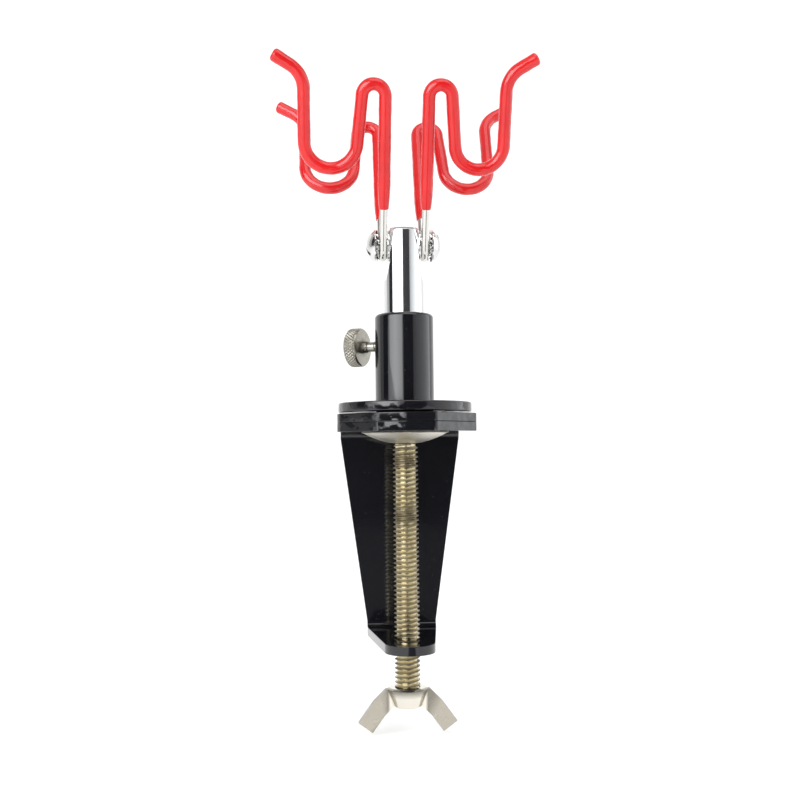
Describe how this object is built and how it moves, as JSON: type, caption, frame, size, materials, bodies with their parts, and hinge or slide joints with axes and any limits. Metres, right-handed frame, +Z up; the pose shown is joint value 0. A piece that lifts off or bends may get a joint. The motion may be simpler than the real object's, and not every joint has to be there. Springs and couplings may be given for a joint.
{
  "type": "airbrush holder clamp",
  "caption": "Clamp-on holder: a C-clamp carries a swivelling collar and sliding post, topped by coated wire hangers that cradle airbrushes.",
  "frame": {"origin": "on the clamp screw's axis, at the underside of the jaw plate, which rests on the table top", "axes": "+Z up along the clamp screw and the post; -Y to the front, the open side of the clamp's throat; +X to the right as seen from the front"},
  "size_m": [0.0809, 0.0542, 0.2057],
  "materials": {
    "black_paint": "gloss black paint over steel",
    "nickel": "bright nickel plate",
    "thread_nickel": "nickel plate, slightly yellow, on a rolled thread",
    "satin_nickel": "satin nickel plate on a cast wing nut",
    "fibre": "dark fibre washer",
    "spring_steel": "plain spring steel",
    "chrome": "polished chrome plate on a turned post",
    "screw_chrome": "chrome plate on small hardware",
    "wire_chrome": "chrome plate on steel wire",
    "coating": "glossy red PVC dip coating"
  },
  "bodies": {
    "clamp_frame": {"clamp_bracket": "black_paint", "base_plate": "black_paint", "swivel_bolt": "nickel", "thrust_washer": "fibre", "spring_washer": "spring_steel", "swivel_nut": "nickel"},
    "turret": {"swivel_disc": "black_paint", "collar": "black_paint"},
    "thumb": {"thumb_screw": "nickel"},
    "mast": {"post": "chrome", "left_flat_washer": "screw_chrome", "right_flat_washer": "screw_chrome", "left_lock_washer": "screw_chrome", "right_lock_washer": "screw_chrome", "left_pivot_screw": "screw_chrome", "right_pivot_screw": "screw_chrome"},
    "left_hanger": {"left_hanger_wire": "wire_chrome", "left_front_sleeve": "coating", "left_rear_sleeve": "coating"},
    "right_hanger": {"right_hanger_wire": "wire_chrome", "right_front_sleeve": "coating", "right_rear_sleeve": "coating"},
    "pad": {"pressure_dish": "nickel"},
    "screw": {"clamp_screw": "thread_nickel", "wing_nut": "satin_nickel"}
  },
  "joints": [
    {"name": "base_swivel", "type": "hinge", "parent": "clamp_frame", "child": "turret", "pos_m": [0, 0, 0.00745], "axis": [0, 0, 1], "continuous": true},
    {"name": "thumb_screw_turn", "type": "hinge", "parent": "turret", "child": "thumb", "pos_m": [0, 0, 0.0273], "axis": [-0.8746, 0.4848, 0], "range_deg": [-720, 0]},
    {"name": "post_slide", "type": "slide", "parent": "turret", "child": "mast", "axis": [0, 0, 1], "range_m": [-0.0045, 0.005]},
    {"name": "left_hanger_tilt", "type": "hinge", "parent": "mast", "child": "left_hanger", "pos_m": [-0.0066, 0, 0.05885], "axis": [1, 0, 0], "range_deg": [-110, 110]},
    {"name": "right_hanger_tilt", "type": "hinge", "parent": "mast", "child": "right_hanger", "pos_m": [0.0066, 0, 0.05885], "axis": [1, 0, 0], "range_deg": [-110, 110]},
    {"name": "pad_slide", "type": "slide", "parent": "clamp_frame", "child": "pad", "axis": [0, 0, 1], "range_m": [-0.0593, 0]},
    {"name": "screw_turn", "type": "hinge", "parent": "pad", "child": "screw", "pos_m": [0, 0, -0.04], "axis": [0, 0, 1], "range_deg": [-15130, 0]}
  ],
  "couplings": [
    {"joint": "screw_turn", "follows": "pad_slide", "rad_per_m": 4452.6}
  ]
}
